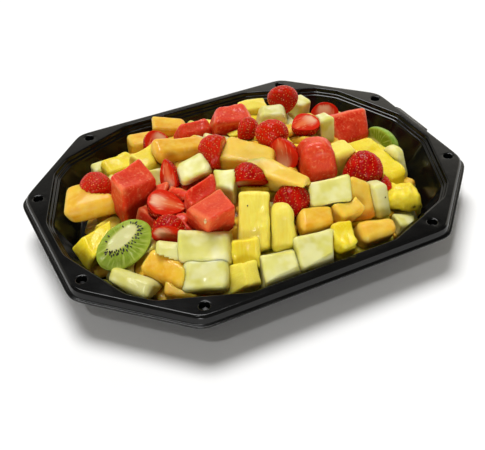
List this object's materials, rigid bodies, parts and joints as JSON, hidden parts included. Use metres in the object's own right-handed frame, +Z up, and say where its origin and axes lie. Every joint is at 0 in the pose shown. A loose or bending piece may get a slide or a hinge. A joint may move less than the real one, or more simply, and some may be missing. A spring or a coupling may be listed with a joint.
{
  "type": "fruit salad",
  "caption": "Cut fruit salad heaped in a shallow black octagonal tray with a dimpled flange, a stacking brim and a lift tab.",
  "frame": {"origin": "on the supporting surface, under the middle of the tray's footprint", "axes": "+X along the tray towards the end with the lift tab, +Y across the tray towards the back, +Z up"},
  "size_m": [0.3634, 0.276, 0.087],
  "materials": {
    "tray_plastic": "glossy black thermoformed sheet",
    "watermelon": "moist, fine-grained red flesh",
    "cantaloupe": "moist, smooth orange-yellow flesh",
    "honeydew": "moist, translucent pale green-white flesh",
    "pineapple": "moist, fibrous bright yellow flesh",
    "strawberry": "glossy red skin with pale seeds, paler cut faces",
    "kiwi": "moist green flesh, pale core, black seeds",
    "mixed_fruit": "moist mixed cut fruit"
  },
  "bodies": {
    "root": {"tray": "tray_plastic", "strawberry_left_end": "strawberry", "strawberry_upper_left": "strawberry", "strawberry_summit": "strawberry", "strawberry_back": "strawberry", "strawberry_half_right": "strawberry", "strawberry_quarter": "strawberry", "strawberry_half_middle": "strawberry", "strawberry_front": "strawberry", "strawberry_right": "strawberry", "strawberry_half_left": "strawberry", "strawberry_half_front": "strawberry", "pineapple_left_end": "pineapple", "kiwi_left": "kiwi", "watermelon_left": "watermelon", "watermelon_front": "watermelon", "honeydew_middle": "honeydew", "cantaloupe_summit": "cantaloupe", "cantaloupe_slanted": "cantaloupe", "pineapple_slab": "pineapple", "watermelon_right": "watermelon", "watermelon_back_right": "watermelon", "strawberry_half_back": "strawberry", "strawberry_wedge": "strawberry", "strawberry_back_left": "strawberry", "cantaloupe_back_stick": "cantaloupe", "cantaloupe_left_end": "cantaloupe", "honeydew_front_upper": "honeydew", "honeydew_front_lower": "honeydew", "honeydew_front_right": "honeydew", "honeydew_front_middle": "honeydew", "honeydew_bar": "honeydew", "cantaloupe_upright": "cantaloupe", "pineapple_round": "pineapple", "pineapple_front_wedge": "pineapple", "cantaloupe_front_right": "cantaloupe", "pineapple_right_end": "pineapple", "pineapple_right_long": "pineapple", "cantaloupe_front_left": "cantaloupe", "honeydew_left_corner": "honeydew", "cantaloupe_cube": "cantaloupe", "pineapple_eyed": "pineapple", "watermelon_slab": "watermelon", "watermelon_back": "watermelon", "watermelon_back_left": "watermelon", "honeydew_back": "honeydew", "honeydew_back_right": "honeydew", "honeydew_green": "honeydew", "pineapple_middle": "pineapple", "kiwi_right": "kiwi", "honeydew_right_end": "honeydew", "honeydew_right_tip": "honeydew", "honeydew_seedy": "honeydew", "honeydew_left_small": "honeydew", "cantaloupe_back": "cantaloupe", "cantaloupe_back_small": "cantaloupe", "cantaloupe_front_sliver": "cantaloupe", "pineapple_back_left": "pineapple", "pineapple_front_small": "pineapple", "fruit_bed": "mixed_fruit"}
  },
  "joints": []
}
